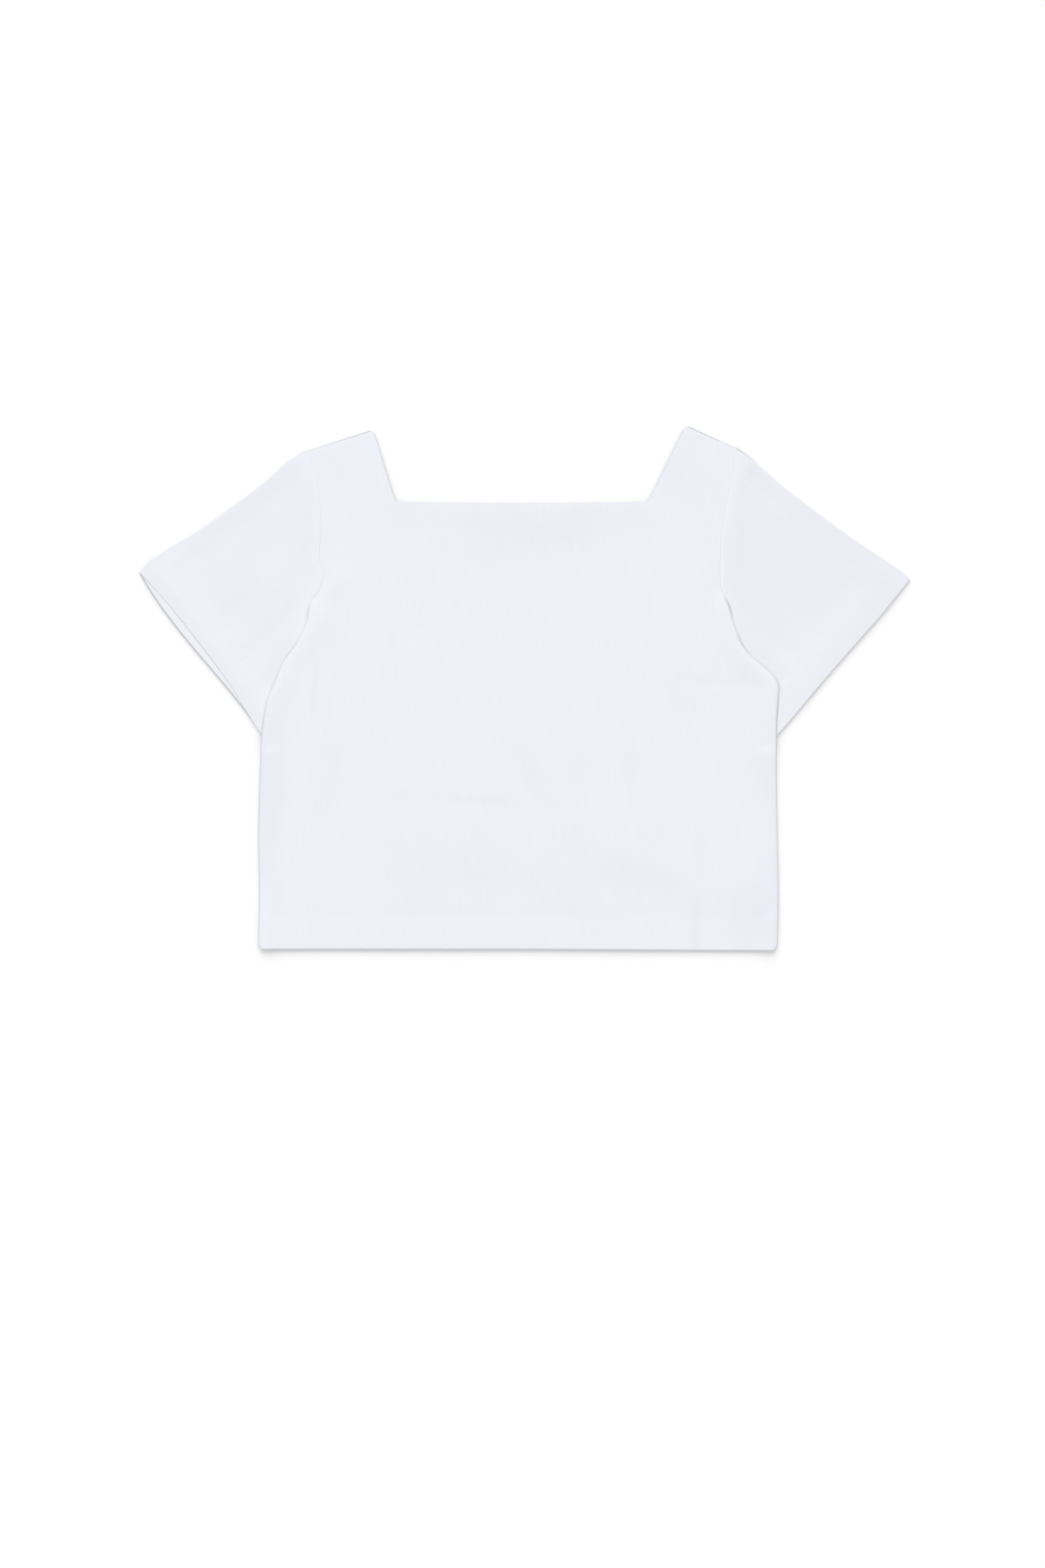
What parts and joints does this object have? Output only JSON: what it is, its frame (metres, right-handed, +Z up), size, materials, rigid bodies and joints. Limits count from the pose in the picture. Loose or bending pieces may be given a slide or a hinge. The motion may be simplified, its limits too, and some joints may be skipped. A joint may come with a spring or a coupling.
{
  "type": "square neck t-shirt",
  "caption": "Child-size cropped t-shirt with a wide square neckline and short sleeves, laid flat on its back with the sleeves spread and their lower ends tucked into the body.",
  "frame": {"origin": "middle of the laid-out t-shirt's box, on the surface that it lies on", "axes": "+X across the chest, from the sleeve on the left of the picture to the one on the right; +Y from the hem to the neckline; +Z up, out of the front"},
  "size_m": [0.528, 0.3604, 0.0072],
  "materials": {
    "jersey": "matte, fine plain knit"
  },
  "bodies": {
    "root": {"front_panel": "jersey", "back_panel": "jersey", "left_sleeve": "jersey", "right_sleeve": "jersey"}
  },
  "joints": []
}
